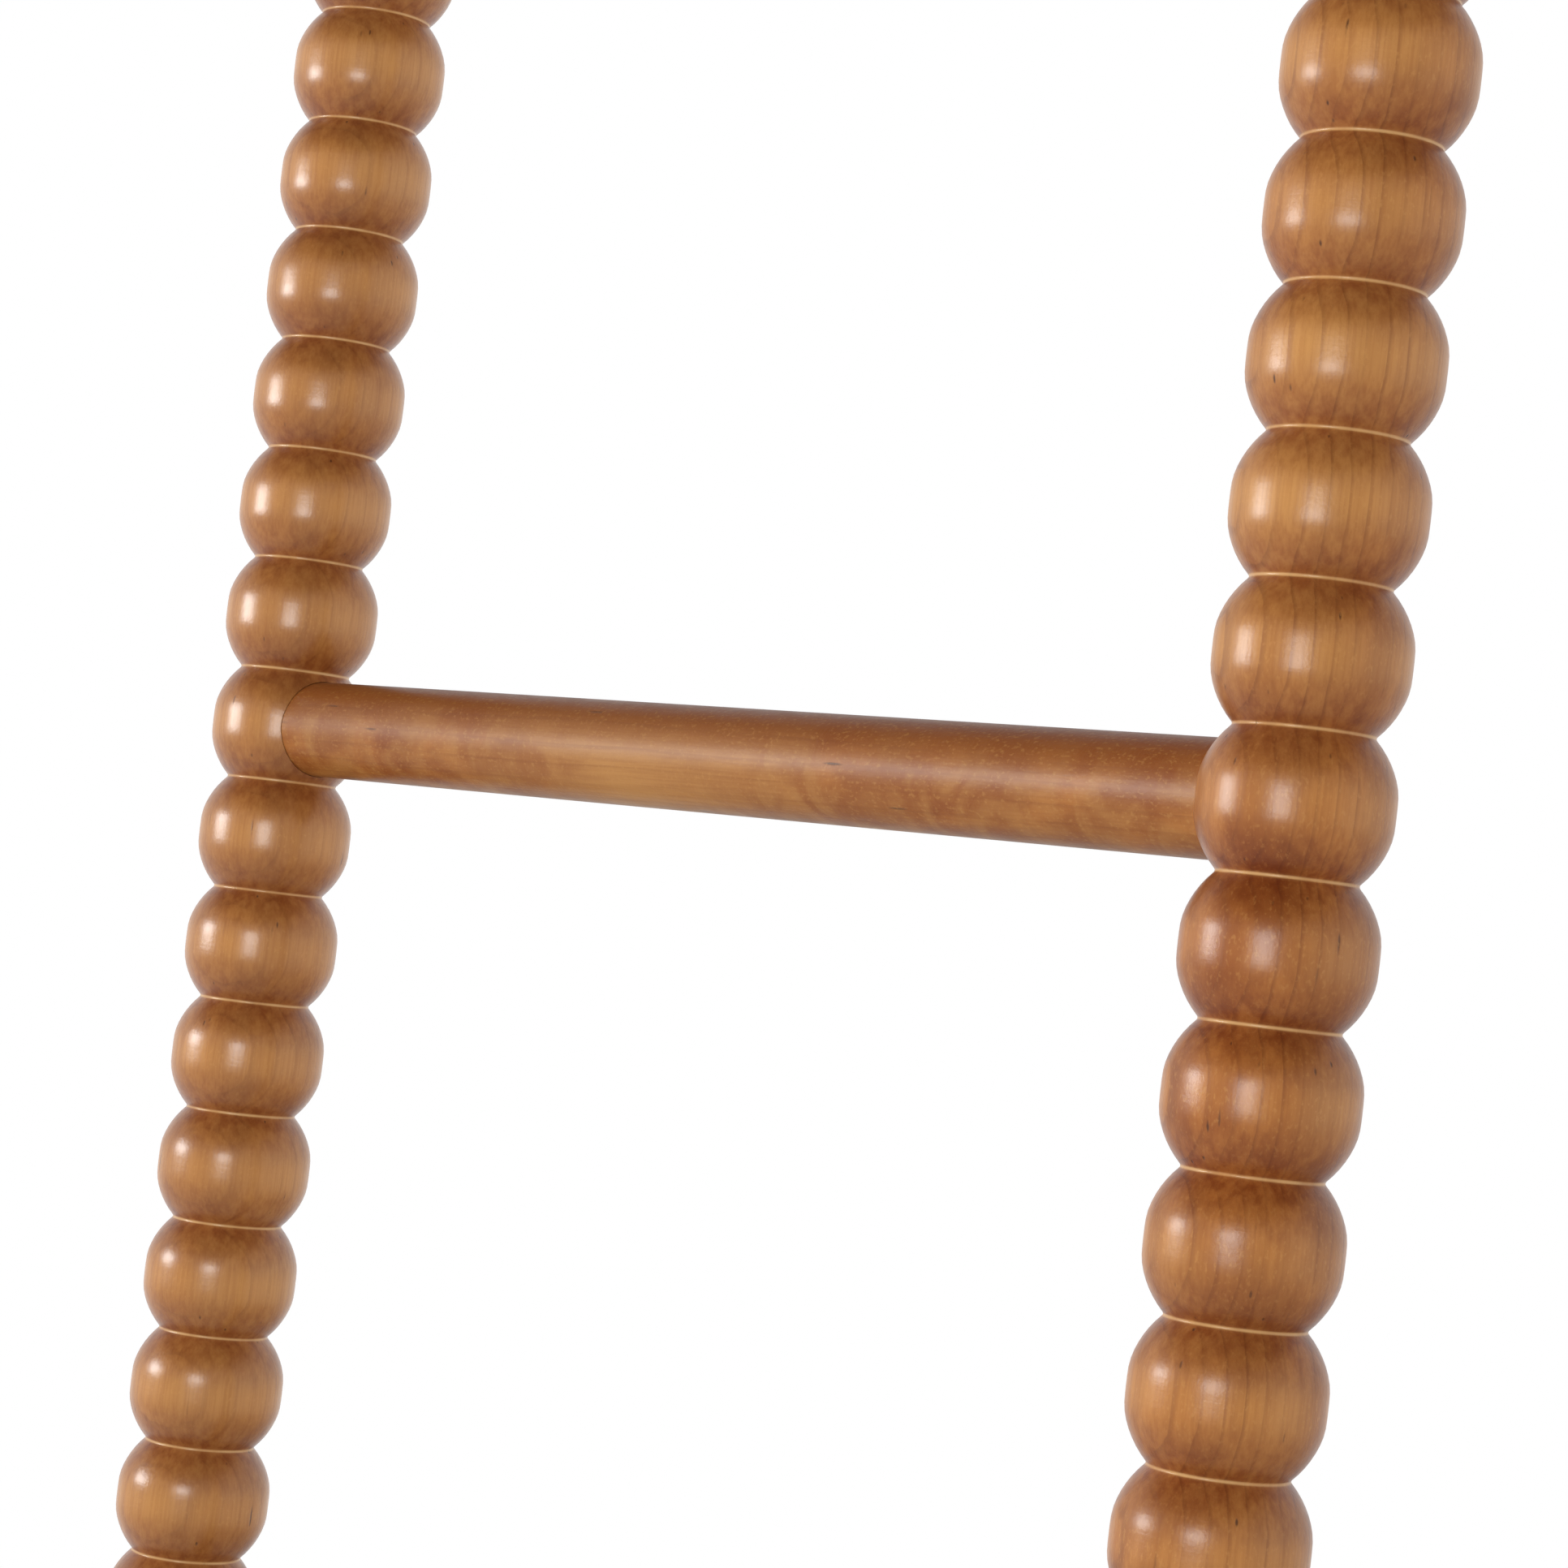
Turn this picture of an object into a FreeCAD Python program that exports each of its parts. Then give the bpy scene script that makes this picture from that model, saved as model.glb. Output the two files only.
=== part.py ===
"""Leaning decorative ladder: two bobbin turned rails joined by round rungs glued into blind sockets.

Millimetres and degrees. +X runs from the left rail to the right one, +Y towards the wall that the
ladder leans on, +Z up. The origin is on the floor, in the middle of the ladder's footprint.
"""

import FreeCAD
import Part
import Sketcher
import math
import os

# Sizes that can be set by themselves
DRIVING_SIZES = (
    ("rail_length", "1828.8", "along the axis of a rail, from the foot to the top"),
    ("rail_spacing", "457.2", "between the axes of the two rails"),
    ("lean_angle", "9", "degrees from upright"),
    ("bead_diameter", "50.8", "across the crest of a turned bead"),
    ("crest_width", "9.6", "flat band left on the crest of a bead"),
    ("rung_count", "5", "rungs"),
    ("end_bead_count", "6", "beads beyond the first and the last rung"),
    ("step_bead_count", "9", "beads from one rung to the next"),
    ("foot_share", "0.33", "share of the pitch left below the centre of the lowest bead"),
    ("finial_flat", "9", "flat left at the very top by the lathe"),
    ("rung_diameter", "31.75", "dowel"),
    ("rung_bevel", "1.2", "at both ends of a rung"),
    ("socket_web", "5", "from the axis of the rail to the floor of a socket"),
    ("glue_gap", "0.1", "round a rung in its socket"),
    ("end_gap", "0.4", "beyond the end of a rung or a screw in its hole"),
    ("fit_gap", "0.1", "round a screw in its hole"),
    ("pad_diameter", "38", "rubber pad under a foot"),
    ("pad_thickness", "5", "from the floor to the foot"),
    ("pad_bevel", "1.2", "on the edge of the pad that meets the floor"),
    ("screw_diameter", "4.2", "shank"),
    ("screw_length", "32", "from the head's face to the point"),
    ("screw_point", "5", "length of the tapered point"),
    ("head_diameter", "8.4", "countersunk head, 90 degrees"),
    ("head_depth", "0.9", "how far the head lies inside the pad"),
    ("drive_span", "4.6", "across the cross recess of the screw"),
    ("drive_width", "1.1", "of one arm of the cross recess"),
    ("drive_depth", "1.6", "of the cross recess"),
    ("wall_flat_depth", "1.5", "of the flat on the top ball that meets the wall, below the crest"),
    ("overrun", "2", "how far a cut runs past the wood"),
)

# Sizes that follow from those above
DERIVED_SIZES = (
    ("bead_radius", "=bead_diameter / 2", "crest"),
    ("ball_radius", "=sqrt(bead_diameter^2 + crest_width^2) / 2", "a ball, its crest turned down"),
    ("finial_height", "=sqrt(ball_radius^2 - finial_flat^2 / 4)", "from the middle of the top ball up"),
    ("bead_count", "=2 * end_bead_count + (rung_count - 1) * step_bead_count + 1", "beads on one rail"),
    ("bead_pitch", "=(rail_length - finial_height) / (bead_count - 1 + foot_share)", "between two beads"),
    ("neck_radius", "=sqrt(ball_radius^2 - bead_pitch^2 / 4)", "the balls run into each other there"),
    ("foot_rise", "=foot_share * bead_pitch", "from the foot to the centre of the lowest bead"),
    ("finial_rise", "=foot_rise + (bead_count - 1) * bead_pitch", "from the foot to the top ball"),
    ("first_rung_rise", "=foot_rise + end_bead_count * bead_pitch", "from the foot to the lowest rung"),
    ("rung_pitch", "=step_bead_count * bead_pitch", "between two rungs"),
    ("socket_radius", "=rung_diameter / 2 + glue_gap", "bored for a rung"),
    ("rung_length", "=rail_spacing - 2 * (socket_web + end_gap)", "end to end"),
    ("head_height", "=(head_diameter - screw_diameter) / 2", "of the cone under the screw's head"),
    ("screw_hole", "=screw_diameter / 2 + fit_gap", "radius"),
    ("head_hole", "=head_diameter / 2 + fit_gap", "radius"),
    ("screw_reach", "=head_depth + screw_length - pad_thickness", "of the screw into the foot"),
    ("wall_flat_distance", "=bead_radius - wall_flat_depth", "from the centre of the top ball"),
    ("wall_reach", "=finial_rise * sin(lean_angle) + wall_flat_distance", "from the foot to the wall"),
    ("front_reach", "=ball_radius - foot_rise * sin(lean_angle)", "from the foot to the lowest bead's front"),
    ("foot_y", "=(front_reach - wall_reach) / 2", "sets the origin in the middle of the depth"),
)

SHEET = "Sizes"
SIDES = (("left", -1), ("right", 1))
FULL_TURN = 360
CUBIC_MM_PER_CM = 1000

# Sketcher's numbers for the axes, the origin and the points of an element
V_AXIS, H_AXIS = range(-2, 0)
START, END, CENTRE = range(1, 4)


def make_sheet(doc):
    """The spreadsheet that drives every size."""
    sheet = doc.addObject("Spreadsheet::Sheet", SHEET)
    for row, (alias, content, note) in enumerate(DRIVING_SIZES + DERIVED_SIZES, start=1):
        sheet.set("A%d" % row, alias)
        sheet.set("B%d" % row, content)
        sheet.set("C%d" % row, note)
        sheet.setAlias("B%d" % row, alias)
    doc.recompute()
    return sheet


def size(name):
    """The expression that reads one named size."""
    return "%s.%s" % (SHEET, name)


def value(owner, expression):
    """What an expression comes to now, as a plain number."""
    result = owner.evalExpression(expression)
    return float(getattr(result, "Value", result))


def new_body(doc, name):
    """One piece of the ladder, named as its file is."""
    body = doc.addObject("PartDesign::Body", name)
    body.Label = name
    return body


def place(body, across, back, up, turn):
    """Sets a piece at a point of the ladder, turned about the X axis."""
    body.setExpression(
        "Placement",
        "placement(vector(%s; %s; %s); rotation(vector(1; 0; 0); %s))" % (across, back, up, turn),
    )


def place_on_rails(body, across, rise):
    """Sets a piece that leans with the rails at a height measured along them from the foot."""
    lean = size("lean_angle")
    back = "%s + (%s) * sin(%s)" % (size("foot_y"), rise, lean)
    up = "%s + (%s) * cos(%s)" % (size("pad_thickness"), rise, lean)
    place(body, across, back, up, "-%s" % lean)


def rail_x(side):
    """The expression for the X of one rail's axis."""
    return "%d * %s / 2" % (side, size("rail_spacing"))


def new_sketch(body, name, role, offset=None):
    """A sketch on one of the body's own origin planes, moved or turned in it by an expression."""
    sketch = body.newObject("Sketcher::SketchObject", name)
    plane = next(f for f in body.Origin.OriginFeatures if f.Role == role)
    sketch.AttachmentSupport = (plane, [""])
    sketch.MapMode = "FlatFace"
    if offset:
        sketch.setExpression("AttachmentOffset", offset)
    return sketch


def plumb(rise):
    """An offset that turns a sketch back upright in a leaning rail, its origin at a height on the axis."""
    return "placement(vector(0; %s; 0); rotation(vector(0; 0; 1); %s))" % (rise, size("lean_angle"))


def hold(sketch, element, point, across=None, up=None):
    """Ties one point of a sketch to expressions, or to an axis where the expression is 0."""
    for kind, axis, expression in (("DistanceX", V_AXIS, across), ("DistanceY", H_AXIS, up)):
        if expression is None:
            continue
        if expression == "0":
            sketch.addConstraint(Sketcher.Constraint("PointOnObject", element, point, axis))
            continue
        here = value(sketch, expression)
        number = sketch.addConstraint(Sketcher.Constraint(kind, H_AXIS, START, element, point, here))
        sketch.setExpression("Constraints[%d]" % number, expression)


def link(sketch, elements):
    """Joins each element's end to the next one's start, all the way round."""
    for here, there in zip(elements, elements[1:] + elements[:1]):
        sketch.addConstraint(Sketcher.Constraint("Coincident", here, END, there, START))


def outline(sketch, corners):
    """A closed outline of straight lines through corners given as pairs of expressions."""
    points = [FreeCAD.Vector(value(sketch, x), value(sketch, y), 0) for x, y in corners]
    lines = [
        sketch.addGeometry(Part.LineSegment(here, there))
        for here, there in zip(points, points[1:] + points[:1])
    ]
    link(sketch, lines)
    for line, (x, y) in zip(lines, corners):
        hold(sketch, line, START, x, y)


def circle(sketch, radius, across="0", up="0"):
    """A circle whose centre and radius are expressions."""
    centre = FreeCAD.Vector(value(sketch, across), value(sketch, up), 0)
    ring = Part.Circle(centre, FreeCAD.Vector(0, 0, 1), value(sketch, radius))
    element = sketch.addGeometry(ring)
    hold(sketch, element, CENTRE, across, up)
    number = sketch.addConstraint(Sketcher.Constraint("Radius", element, value(sketch, radius)))
    sketch.setExpression("Constraints[%d]" % number, radius)


def turned_profile(sketch, rise, lower, upper):
    """Half the outline of a turned ball: lower and upper name the radius where each end stops."""
    ball = value(sketch, size("ball_radius"))
    crest = value(sketch, size("bead_radius"))
    band = value(sketch, size("crest_width")) / 2
    centre = value(sketch, rise)
    low_radius = value(sketch, lower)
    high_radius = value(sketch, upper)
    low = centre - math.sqrt(ball**2 - low_radius**2)
    high = centre + math.sqrt(ball**2 - high_radius**2)
    middle = FreeCAD.Vector(0, centre, 0)
    full = Part.Circle(middle, FreeCAD.Vector(0, 0, 1), ball)

    def at(x, y):
        return FreeCAD.Vector(x, y, 0)

    def angle(x, y):
        return math.atan2(y - centre, x)

    axis = sketch.addGeometry(Part.LineSegment(at(0, high), at(0, low)))
    base = sketch.addGeometry(Part.LineSegment(at(0, low), at(low_radius, low)))
    swell = sketch.addGeometry(
        Part.ArcOfCircle(full, angle(low_radius, low), angle(crest, centre - band))
    )
    flat = sketch.addGeometry(Part.LineSegment(at(crest, centre - band), at(crest, centre + band)))
    fall = sketch.addGeometry(
        Part.ArcOfCircle(full, angle(crest, centre + band), angle(high_radius, high))
    )
    top = sketch.addGeometry(Part.LineSegment(at(high_radius, high), at(0, high)))
    link(sketch, [axis, base, swell, flat, fall, top])
    sketch.addConstraint(Sketcher.Constraint("Vertical", axis))
    sketch.addConstraint(Sketcher.Constraint("Horizontal", base))
    sketch.addConstraint(Sketcher.Constraint("Horizontal", top))
    sketch.addConstraint(Sketcher.Constraint("Vertical", flat))
    sketch.addConstraint(Sketcher.Constraint("Coincident", swell, CENTRE, fall, CENTRE))
    hold(sketch, swell, CENTRE, "0", rise)
    hold(sketch, flat, START, size("bead_radius"), "%s - %s / 2" % (rise, size("crest_width")))
    hold(sketch, axis, START, "0")
    hold(sketch, base, END, lower)
    hold(sketch, fall, END, upper)


def revolve(body, name, sketch, axis="V_Axis", kind="PartDesign::Revolution"):
    """Turns a sketch all the way round one of its own axes, adding wood or cutting it away."""
    feature = body.newObject(kind, name)
    feature.Profile = sketch
    feature.ReferenceAxis = (sketch, [axis])
    feature.Angle = FULL_TURN
    return feature


def repeat(body, name, feature, length, count):
    """Copies a feature along the rail."""
    pattern = body.newObject("PartDesign::LinearPattern", name)
    pattern.Originals = [feature]
    z_axis = next(f for f in body.Origin.OriginFeatures if f.Role == "Z_Axis")
    pattern.Direction = (z_axis, [""])
    pattern.setExpression("Length", length)
    pattern.setExpression("Occurrences", count)
    body.Tip = pattern
    return pattern


def bevel(body, name, base, edges, width):
    """Chamfers the named edges of the last feature."""
    feature = body.newObject("PartDesign::Chamfer", name)
    feature.Base = (base, edges)
    feature.setExpression("Size", width)


def ring_edges(shape, keep):
    """The names of the round edges whose centre passes a test."""
    names = []
    for number, edge in enumerate(shape.Edges, start=1):
        if isinstance(edge.Curve, Part.Circle) and keep(edge):
            names.append("Edge%d" % number)
    return names


def turn_beads(body):
    """The turned rail: a row of beads and the ball that ends it."""
    bead = new_sketch(body, "bead_profile", "XZ_Plane")
    neck = size("neck_radius")
    turned_profile(bead, size("foot_rise"), neck, neck)
    first = revolve(body, "bead", bead)
    row = "(%s - 2) * %s" % (size("bead_count"), size("bead_pitch"))
    repeat(body, "bead_row", first, row, "%s - 1" % size("bead_count"))
    finial = new_sketch(body, "finial_profile", "XZ_Plane")
    turned_profile(finial, size("finial_rise"), neck, "%s / 2" % size("finial_flat"))
    revolve(body, "finial", finial)


def cut_foot(body):
    """Cuts the foot level with the floor and drills it for the screw of its pad."""
    level = new_sketch(body, "foot_level", "YZ_Plane", plumb("0"))
    reach = size("bead_diameter")
    outline(
        level,
        [("-%s" % reach, "0"), (reach, "0"), (reach, "-%s" % reach), ("-%s" % reach, "-%s" % reach)],
    )
    cut = body.newObject("PartDesign::Pocket", "foot_cut")
    cut.Profile = level
    cut.Midplane = True
    cut.setExpression("Length", "2 * %s" % reach)
    drill = new_sketch(body, "foot_drill", "YZ_Plane", plumb("0"))
    radius = size("screw_hole")
    depth = "%s + %s" % (size("screw_reach"), size("end_gap"))
    outline(
        drill,
        [
            ("0", "-%s" % size("overrun")),
            (radius, "-%s" % size("overrun")),
            (radius, "%s - %s" % (depth, size("screw_point"))),
            ("0", depth),
        ],
    )
    revolve(body, "foot_hole", drill, kind="PartDesign::Groove")


def bore_sockets(body, side):
    """Bores the blind sockets for the rungs on the side that faces the other rail."""
    floor = "placement(vector(0; 0; %d * %s); rotation(vector(0; 0; 1); 0))" % (-side, size("socket_web"))
    mouth = new_sketch(body, "socket_mouth", "YZ_Plane", floor)
    circle(mouth, size("socket_radius"), "0", size("first_rung_rise"))
    socket = body.newObject("PartDesign::Pocket", "socket")
    socket.Profile = mouth
    socket.Reversed = side < 0
    socket.setExpression("Length", size("bead_diameter"))
    span = "(%s - 1) * %s" % (size("rung_count"), size("rung_pitch"))
    repeat(body, "socket_row", socket, span, size("rung_count"))


def cut_wall_flat(body):
    """Planes a small upright flat on the back of the top ball, which rests on the wall."""
    flat = new_sketch(body, "wall_flat_outline", "YZ_Plane", plumb(size("finial_rise")))
    start = size("wall_flat_distance")
    end = "%s + %s" % (size("ball_radius"), size("overrun"))
    reach = size("ball_radius")
    outline(flat, [(start, "-%s" % reach), (end, "-%s" % reach), (end, reach), (start, reach)])
    cut = body.newObject("PartDesign::Pocket", "wall_flat")
    cut.Profile = flat
    cut.Midplane = True
    cut.setExpression("Length", "2 * %s" % reach)


def make_rail(doc, name, side):
    """One bobbin turned rail."""
    body = new_body(doc, "%s_rail" % name)
    turn_beads(body)
    cut_foot(body)
    bore_sockets(body, side)
    cut_wall_flat(body)
    place_on_rails(body, rail_x(side), "0")
    return body


def make_rung(doc, number):
    """One dowel, bevelled at both ends so that it enters its sockets."""
    body = new_body(doc, "rung_%d" % (number + 1))
    section = new_sketch(body, "rung_section", "YZ_Plane")
    circle(section, "%s / 2" % size("rung_diameter"))
    dowel = body.newObject("PartDesign::Pad", "dowel")
    dowel.Profile = section
    dowel.Midplane = True
    dowel.setExpression("Length", size("rung_length"))
    doc.recompute()
    ends = ring_edges(dowel.Shape, lambda edge: True)
    bevel(body, "bevels", dowel, ends, size("rung_bevel"))
    rise = "%s + %d * %s" % (size("first_rung_rise"), number, size("rung_pitch"))
    place_on_rails(body, "0", rise)
    return body


def make_pad(doc, name, side):
    """A round rubber pad with a countersunk hole, its lower edge eased."""
    body = new_body(doc, "%s_foot_pad" % name)
    profile = new_sketch(body, "pad_profile", "XZ_Plane")
    radius = "%s / 2" % size("pad_diameter")
    outline(
        profile,
        [
            (size("head_hole"), "0"),
            (radius, "0"),
            (radius, size("pad_thickness")),
            (size("screw_hole"), size("pad_thickness")),
            (size("screw_hole"), "%s + %s" % (size("head_depth"), size("head_height"))),
            (size("head_hole"), size("head_depth")),
        ],
    )
    disc = revolve(body, "pad_disc", profile)
    doc.recompute()
    rim = value(profile, radius)
    lower = ring_edges(disc.Shape, lambda edge: edge.Curve.Radius >= rim and edge.Curve.Center.z <= 0)
    bevel(body, "pad_edge", disc, lower, size("pad_bevel"))
    place(body, rail_x(side), size("foot_y"), "0", "0")
    return body


def cross_corners():
    """The twelve corners of the screw's cross recess, one arm after another."""
    arm = "%s / 2" % size("drive_span")
    half = "%s / 2" % size("drive_width")
    return [
        (arm, "-%s" % half),
        (arm, half),
        (half, half),
        (half, arm),
        ("-%s" % half, arm),
        ("-%s" % half, half),
        ("-%s" % arm, half),
        ("-%s" % arm, "-%s" % half),
        ("-%s" % half, "-%s" % half),
        ("-%s" % half, "-%s" % arm),
        (half, "-%s" % arm),
        (half, "-%s" % half),
    ]


def make_screw(doc, name, side):
    """The countersunk wood screw that holds a pad, driven up into the foot."""
    body = new_body(doc, "%s_foot_screw" % name)
    profile = new_sketch(body, "screw_profile", "XZ_Plane")
    shank = "%s / 2" % size("screw_diameter")
    outline(
        profile,
        [
            ("0", "0"),
            ("%s / 2" % size("head_diameter"), "0"),
            (shank, size("head_height")),
            (shank, "%s - %s" % (size("screw_length"), size("screw_point"))),
            ("0", size("screw_length")),
        ],
    )
    revolve(body, "shank", profile)
    drive = new_sketch(body, "drive_outline", "XY_Plane")
    outline(drive, cross_corners())
    recess = body.newObject("PartDesign::Pocket", "drive")
    recess.Profile = drive
    recess.Reversed = True
    recess.setExpression("Length", size("drive_depth"))
    place(body, rail_x(side), size("foot_y"), size("head_depth"), "0")
    return body


def check(doc, bodies):
    """Stops if a feature failed, cut nothing or left a piece in more than one solid."""
    for feature in doc.Objects:
        failed = [state for state in feature.State if state in ("Invalid", "Error")]
        if failed:
            raise RuntimeError("%s failed: %s" % (feature.Label, failed))
        if feature.TypeId in ("PartDesign::Pocket", "PartDesign::Groove"):
            if feature.Shape.Volume >= feature.BaseFeature.Shape.Volume:
                raise RuntimeError("%s cuts nothing" % feature.Label)
    for body in bodies:
        shape = body.Shape
        if shape.isNull() or not shape.isValid() or len(shape.Solids) != 1:
            raise RuntimeError("%s is not one valid solid" % body.Label)


def write(bodies):
    """Writes each piece to its own file."""
    os.makedirs("parts", exist_ok=True)
    for body in bodies:
        body.Shape.exportStep("parts/%s.step" % body.Label)
        print("%-20s %8.1f cm3" % (body.Label, body.Shape.Volume / CUBIC_MM_PER_CM))


def main():
    doc = FreeCAD.newDocument("decorative_ladder")
    sheet = make_sheet(doc)
    bodies = []
    for name, side in SIDES:
        bodies.append(make_rail(doc, name, side))
        bodies.append(make_pad(doc, name, side))
        bodies.append(make_screw(doc, name, side))
    for number in range(int(value(sheet, size("rung_count")))):
        bodies.append(make_rung(doc, number))
    doc.recompute()
    check(doc, bodies)
    write(bodies)


main()
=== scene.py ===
"""Studio scene of a leaning ladder with bobbin turned rails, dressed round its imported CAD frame.

Metres. Rails and rungs are turned again here with finer profiles, eased grooves and open sockets.
Each wooden piece is made along its own Z axis, which is also the direction of its grain.
"""

import math
from types import SimpleNamespace

import bmesh
import bpy
from mathutils import Euler, Matrix, Vector


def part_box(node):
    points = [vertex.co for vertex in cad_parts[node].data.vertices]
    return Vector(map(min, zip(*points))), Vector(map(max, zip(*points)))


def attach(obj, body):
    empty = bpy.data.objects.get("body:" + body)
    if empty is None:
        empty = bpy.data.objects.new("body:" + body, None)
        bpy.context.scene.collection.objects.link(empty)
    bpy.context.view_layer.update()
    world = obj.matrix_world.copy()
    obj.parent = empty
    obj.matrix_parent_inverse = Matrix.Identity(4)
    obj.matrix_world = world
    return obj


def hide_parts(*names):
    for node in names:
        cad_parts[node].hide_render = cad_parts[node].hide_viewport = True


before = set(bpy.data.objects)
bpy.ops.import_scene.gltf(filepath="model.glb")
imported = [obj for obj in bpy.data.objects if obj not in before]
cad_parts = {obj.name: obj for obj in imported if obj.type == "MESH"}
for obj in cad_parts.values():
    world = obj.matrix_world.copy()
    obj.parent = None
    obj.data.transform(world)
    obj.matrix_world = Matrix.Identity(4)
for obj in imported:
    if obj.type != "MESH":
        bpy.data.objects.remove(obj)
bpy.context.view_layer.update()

# Counts, and the names of the two sides
RUNGS = 5
MIDDLE_RUNG = (RUNGS + 1) // 2
BEADS_PER_STEP = 9
END_BEADS = 6
SIDES = ("left", "right")

# Sizes of the turned wood that the frame's boxes don't show
CREST_WIDTH = 0.0096
CREST_EASE = 0.0004
GROOVE_RADIUS = 0.0008
GROOVE_REACH = 0.0010
FINIAL_FLAT = 0.009
FINIAL_EASE = 0.0012
RUNG_BEVEL = 0.0012
SOCKET_WEB = 0.005
JOINT_GAP = 0.00016

# How finely things are turned
TURN_STEPS = 72
ARC_STEPS = 18
GROOVE_STEPS = 6
RUNG_STEPS = 40
EASE_STEPS = 4
SMOOTH_ANGLE = math.radians(32)

# Rubber pads: the ease of their rims, the room round a screw, and its hole as a share of its head
PAD_EDGE = 0.0014
PAD_HOLE_GAP = 0.0001
PAD_HOLE_SHARE = 0.5


def middle(node):
    """The middle of a CAD node's box."""
    low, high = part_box(node)
    return (low + high) / 2


def span(node):
    """The size of a CAD node's box."""
    low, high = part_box(node)
    return high - low


def measure():
    """The sizes of the ladder, worked out from the frame."""
    first = middle("rung_1")
    last = middle("rung_%d" % RUNGS)
    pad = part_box("left_foot_pad")
    size = SimpleNamespace()
    size.lean = math.atan2(last.y - first.y, last.z - first.z)
    size.pitch = (last - first).length / ((RUNGS - 1) * BEADS_PER_STEP)
    size.bead_radius = span("left_rail").x / 2
    size.ball_radius = math.hypot(size.bead_radius, CREST_WIDTH / 2)
    size.foot = Vector((0, middle("left_foot_pad").y, pad[1].z))
    size.first_rise = (first - size.foot).length
    size.lowest_rise = size.first_rise - END_BEADS * size.pitch
    size.bead_count = 2 * END_BEADS + (RUNGS - 1) * BEADS_PER_STEP + 1
    size.rung_radius = span("rung_1").z / 2
    size.rung_length = span("rung_1").x
    size.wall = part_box("left_rail")[1].y
    size.groove_centre = math.sqrt((size.ball_radius + GROOVE_RADIUS) ** 2 - (size.pitch / 2) ** 2)
    size.groove_angle = math.atan2(size.pitch / 2, size.groove_centre)
    return size


size = measure()


def spread(start, end, steps):
    """Evenly spaced values from start to end."""
    return [start + (end - start) * step / steps for step in range(steps + 1)]


def soft_min(one, other, ease):
    """The lesser of two values, with the corner between them eased."""
    return (one + other - math.hypot(one - other, ease)) / 2


def eased(near, corner, far):
    """Points of a curve from near to far that rounds off the corner between them."""
    points = []
    for share in spread(0, 1, EASE_STEPS):
        weights = ((1 - share) ** 2, 2 * share * (1 - share), share**2)
        points.append(tuple(
            sum(weight * place for weight, place in zip(weights, places))
            for places in zip(near, corner, far)
        ))
    return points


def ball_arc(rise, start, end, steps):
    """Points (radius, height) of a turned ball, its crest eased into a flat band."""
    points = []
    for angle in spread(start, end, steps):
        radius = soft_min(size.bead_radius, size.ball_radius * math.cos(angle), CREST_EASE)
        points.append((radius, rise + size.ball_radius * math.sin(angle)))
    return points


def groove_arc(rise):
    """Points of the small round bottom of the groove above a bead, without its ends."""
    points = []
    for angle in spread(size.groove_angle, -size.groove_angle, GROOVE_STEPS)[1:-1]:
        radius = size.groove_centre - GROOVE_RADIUS * math.cos(angle)
        points.append((radius, rise + size.pitch / 2 - GROOVE_RADIUS * math.sin(angle)))
    return points


def finial_top(rise):
    """The top ball from the groove below it up to the flat that the lathe leaves, with the corner eased."""
    edge = math.acos(FINIAL_FLAT / 2 / size.ball_radius)
    start = edge - FINIAL_EASE / size.ball_radius
    points = ball_arc(rise, -size.groove_angle, start, 2 * ARC_STEPS)
    top = rise + size.ball_radius * math.sin(edge)
    corner = (FINIAL_FLAT / 2, top)
    far = (FINIAL_FLAT / 2 - FINIAL_EASE, top)
    return points + eased(points[-1], corner, far)[1:]


def rail_profile():
    """The outline of a whole rail, from below the foot, which is cut off later, to the top."""
    points = []
    lowest = -math.pi / 2 + CREST_WIDTH / size.ball_radius
    for number in range(size.bead_count - 1):
        rise = size.lowest_rise + number * size.pitch
        start = -size.groove_angle if number else lowest
        points += ball_arc(rise, start, size.groove_angle, ARC_STEPS)
        points += groove_arc(rise)
    return points + finial_top(size.lowest_rise + (size.bead_count - 1) * size.pitch)


def lathe(name, profile, closed=False):
    """A mesh turned about Z from points (radius, height).

    A closed profile makes a ring, an open one gets caps.
    """
    bm = bmesh.new()
    rings = []
    for radius, height in profile:
        ring = []
        for step in range(TURN_STEPS):
            angle = math.tau * step / TURN_STEPS
            ring.append(bm.verts.new((radius * math.cos(angle), radius * math.sin(angle), height)))
        rings.append(ring)
    pairs = list(zip(rings, rings[1:]))
    if closed:
        pairs.append((rings[-1], rings[0]))
    for lower, upper in pairs:
        for step in range(TURN_STEPS):
            after = (step + 1) % TURN_STEPS
            bm.faces.new((lower[step], lower[after], upper[after], upper[step]))
    if not closed:
        bm.faces.new(rings[0][::-1])
        bm.faces.new(rings[-1])
    bmesh.ops.recalc_face_normals(bm, faces=bm.faces)
    return finish_mesh(bm, name)


def finish_mesh(bm, name):
    """Stores a bmesh as a smooth shaded mesh with its sharp edges kept."""
    mesh = bpy.data.meshes.new(name)
    bm.to_mesh(mesh)
    bm.free()
    shade(mesh)
    return mesh


def shade(mesh):
    """Smooth shading, apart from true edges."""
    mesh.shade_smooth()
    mesh.set_sharp_from_angle(angle=SMOOTH_ANGLE)


def add_piece(name, mesh, place, material, slot, *nodes):
    """Puts a mesh into the scene as a piece that stands for CAD nodes."""
    piece = bpy.data.objects.new(name, mesh)
    bpy.context.scene.collection.objects.link(piece)
    piece.matrix_world = place
    mesh.materials.clear()
    mesh.materials.append(material)
    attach(piece, "root")
    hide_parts(*nodes)


# Wooden pieces


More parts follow.
